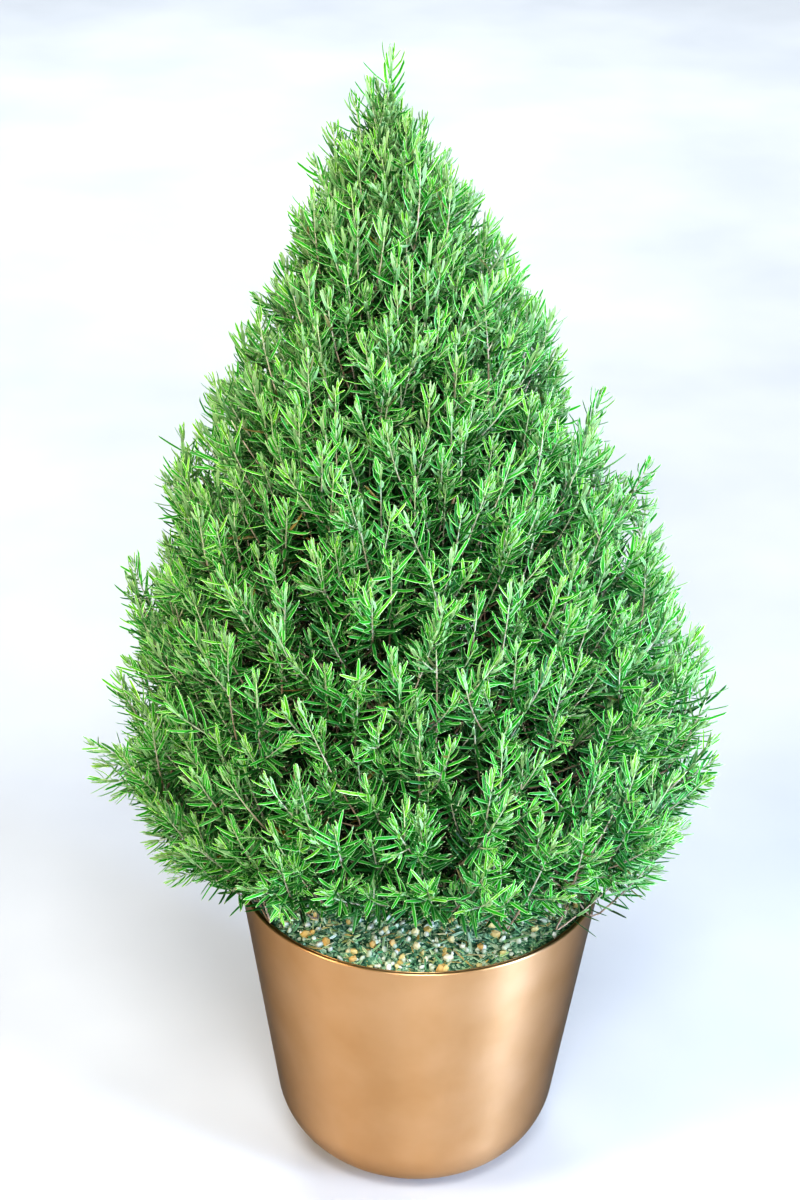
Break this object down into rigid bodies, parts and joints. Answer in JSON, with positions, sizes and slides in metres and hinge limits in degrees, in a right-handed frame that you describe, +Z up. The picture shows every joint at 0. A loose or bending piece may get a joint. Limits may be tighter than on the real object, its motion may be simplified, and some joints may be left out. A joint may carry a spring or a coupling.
{
  "type": "potted rosemary plant",
  "caption": "Cone-shaped rosemary bush of upright leafy sprays on a woody trunk, rooted in soil in a tapered round metal pot that stands on its flat underside.",
  "frame": {"origin": "centre of the pot's flat underside, on the pot's axis", "axes": "+Z up along the pot's axis; -Y faces the viewer's side; the crown leans slightly towards -X"},
  "size_m": [0.4274, 0.4233, 0.8376],
  "materials": {
    "copper_lacquer": "satin copper-gold lacquer on a spun steel pot",
    "potting_mix": "dark peat potting mix with grit, perlite and bark chips",
    "rosemary_bark": "thin grey-brown flaking bark",
    "rosemary_foliage": "narrow leathery leaves, glossy green above and felted grey-green below"
  },
  "bodies": {
    "root": {"pot": "copper_lacquer", "soil": "potting_mix", "trunk": "rosemary_bark", "skirt_branch_1": "rosemary_bark", "skirt_spray_1": "rosemary_foliage", "skirt_branch_2": "rosemary_bark", "skirt_spray_2": "rosemary_foliage", "skirt_branch_3": "rosemary_bark", "skirt_spray_3": "rosemary_foliage", "skirt_branch_4": "rosemary_bark", "skirt_spray_4": "rosemary_foliage", "skirt_branch_5": "rosemary_bark", "skirt_spray_5": "rosemary_foliage", "skirt_branch_6": "rosemary_bark", "skirt_spray_6": "rosemary_foliage", "skirt_branch_7": "rosemary_bark", "skirt_spray_7": "rosemary_foliage", "lower_branch_1": "rosemary_bark", "lower_spray_1": "rosemary_foliage", "lower_branch_2": "rosemary_bark", "lower_spray_2": "rosemary_foliage", "lower_branch_3": "rosemary_bark", "lower_spray_3": "rosemary_foliage", "lower_branch_4": "rosemary_bark", "lower_spray_4": "rosemary_foliage", "lower_branch_5": "rosemary_bark", "lower_spray_5": "rosemary_foliage", "lower_branch_6": "rosemary_bark", "lower_spray_6": "rosemary_foliage", "lower_branch_7": "rosemary_bark", "lower_spray_7": "rosemary_foliage", "middle_branch_1": "rosemary_bark", "middle_spray_1": "rosemary_foliage", "middle_branch_2": "rosemary_bark", "middle_spray_2": "rosemary_foliage", "middle_branch_3": "rosemary_bark", "middle_spray_3": "rosemary_foliage", "middle_branch_4": "rosemary_bark", "middle_spray_4": "rosemary_foliage", "middle_branch_5": "rosemary_bark", "middle_spray_5": "rosemary_foliage", "middle_branch_6": "rosemary_bark", "middle_spray_6": "rosemary_foliage", "upper_branch_1": "rosemary_bark", "upper_spray_1": "rosemary_foliage", "upper_branch_2": "rosemary_bark", "upper_spray_2": "rosemary_foliage", "upper_branch_3": "rosemary_bark", "upper_spray_3": "rosemary_foliage", "upper_branch_4": "rosemary_bark", "upper_spray_4": "rosemary_foliage", "high_branch_1": "rosemary_bark", "high_spray_1": "rosemary_foliage", "high_branch_2": "rosemary_bark", "high_spray_2": "rosemary_foliage", "high_branch_3": "rosemary_bark", "high_spray_3": "rosemary_foliage", "crown_tip": "rosemary_foliage"}
  },
  "joints": []
}
